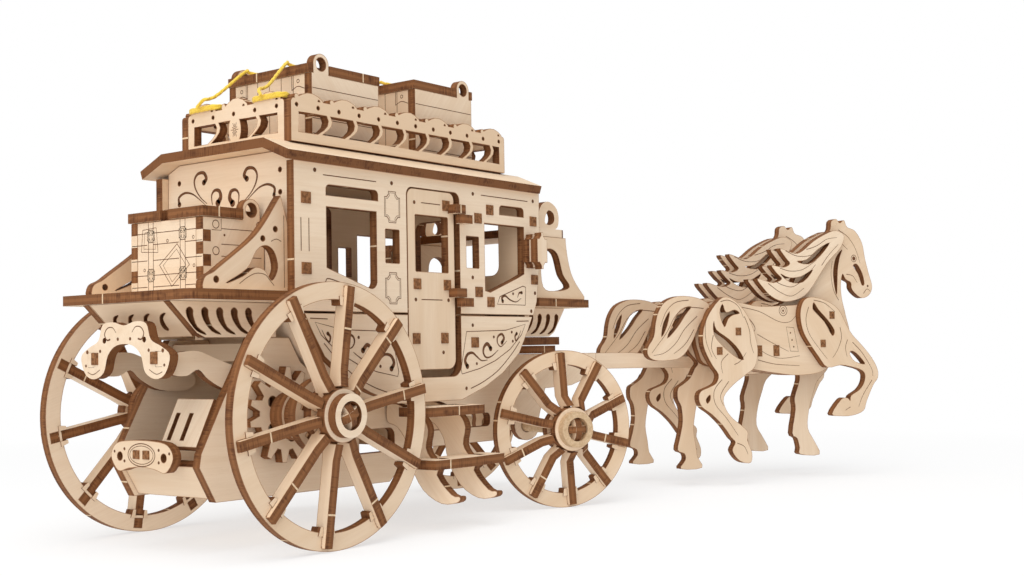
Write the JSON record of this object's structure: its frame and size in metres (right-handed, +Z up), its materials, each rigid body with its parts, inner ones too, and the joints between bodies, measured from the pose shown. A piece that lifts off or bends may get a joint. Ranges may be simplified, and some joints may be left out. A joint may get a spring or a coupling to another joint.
{
  "type": "plywood stagecoach model",
  "caption": "Laser-cut plywood model of a stagecoach with luggage, pulled by a pair of plywood horses on a pole, with turning wheels and opening doors.",
  "frame": {"origin": "on the ground, midway between the two rear wheels", "axes": "+X forward along the coach, +Y to the coach's left, +Z up; the front carriage, pole and horses stand turned 22.2 degrees to the right"},
  "size_m": [0.4148, 0.1681, 0.1819],
  "materials": {
    "birch_ply": "bare birch plywood with laser-browned edges",
    "dowel": "bare beech dowel and laser-cut discs",
    "cord": "yellow twisted cord"
  },
  "bodies": {
    "coach": {"chassis": "birch_ply", "gearbox": "birch_ply", "winding_key": "birch_ply", "rear_bow": "birch_ply", "side_wall_right": "birch_ply", "side_wall_left": "birch_ply", "rear_wall": "birch_ply", "front_wall": "birch_ply", "cabin_floor": "birch_ply", "cabin_seats": "birch_ply", "roof": "birch_ply", "rear_deck": "birch_ply", "boot_apron": "birch_ply", "boot_brackets": "birch_ply", "boot_trunk": "birch_ply", "rack_right": "birch_ply", "rack_left": "birch_ply", "rack_rear": "birch_ply", "rack_front": "birch_ply", "aft_chest": "birch_ply", "aft_chest_lid": "birch_ply", "fore_chest": "birch_ply", "fore_chest_lid": "birch_ply", "lashing_cord": "cord", "driver_seat": "birch_ply", "footboard": "birch_ply", "footboard_apron": "birch_ply", "steps": "birch_ply", "lanterns": "birch_ply"},
    "boot_lid": {"boot_lid": "birch_ply"},
    "door_right": {"door_right": "birch_ply"},
    "door_left": {"door_left": "birch_ply"},
    "rear_wheels": {"rear_axle": "dowel", "drive_discs": "birch_ply", "rear_rim_right": "birch_ply", "rear_spokes_right": "birch_ply", "rear_rim_left": "birch_ply", "rear_spokes_left": "birch_ply"},
    "front_carriage": {"turntable": "birch_ply", "front_axle": "dowel", "pole": "birch_ply", "right_horse_body": "birch_ply", "right_horse_flanks": "birch_ply", "right_horse_hind_legs": "birch_ply", "right_horse_forelegs": "birch_ply", "right_horse_mane": "birch_ply", "right_horse_tail": "birch_ply", "left_horse_body": "birch_ply", "left_horse_flanks": "birch_ply", "left_horse_hind_legs": "birch_ply", "left_horse_forelegs": "birch_ply", "left_horse_mane": "birch_ply", "left_horse_tail": "birch_ply"},
    "front_wheel_right": {"front_rim_right": "birch_ply", "front_spokes_right": "birch_ply"},
    "front_wheel_left": {"front_rim_left": "birch_ply", "front_spokes_left": "birch_ply"}
  },
  "joints": [
    {"name": "steering", "type": "hinge", "parent": "coach", "child": "front_carriage", "pos_m": [0.1609, 0, 0.066], "axis": [0, 0, 1], "range_deg": [-5.8, 50.2]},
    {"name": "rear_wheels_spin", "type": "hinge", "parent": "coach", "child": "rear_wheels", "pos_m": [0, 0, 0.046], "axis": [0, 1, 0], "continuous": true},
    {"name": "front_wheel_right_spin", "type": "hinge", "parent": "front_carriage", "child": "front_wheel_right", "pos_m": [0.1609, 0, 0.0335], "axis": [0.3778, 0.9259, 0], "continuous": true},
    {"name": "front_wheel_left_spin", "type": "hinge", "parent": "front_carriage", "child": "front_wheel_left", "pos_m": [0.1609, 0, 0.0335], "axis": [0.3778, 0.9259, 0], "continuous": true},
    {"name": "door_right_hinge", "type": "hinge", "parent": "coach", "child": "door_right", "pos_m": [0.08305, -0.0403, 0.1], "axis": [0, 0, 1], "range_deg": [0, 100]},
    {"name": "door_left_hinge", "type": "hinge", "parent": "coach", "child": "door_left", "pos_m": [0.08305, 0.0403, 0.1], "axis": [0, 0, 1], "range_deg": [-100, 0]},
    {"name": "boot_lid_hinge", "type": "hinge", "parent": "coach", "child": "boot_lid", "pos_m": [-0.0032, 0, 0.1187], "axis": [0, 1, 0], "range_deg": [0, 65]}
  ]
}
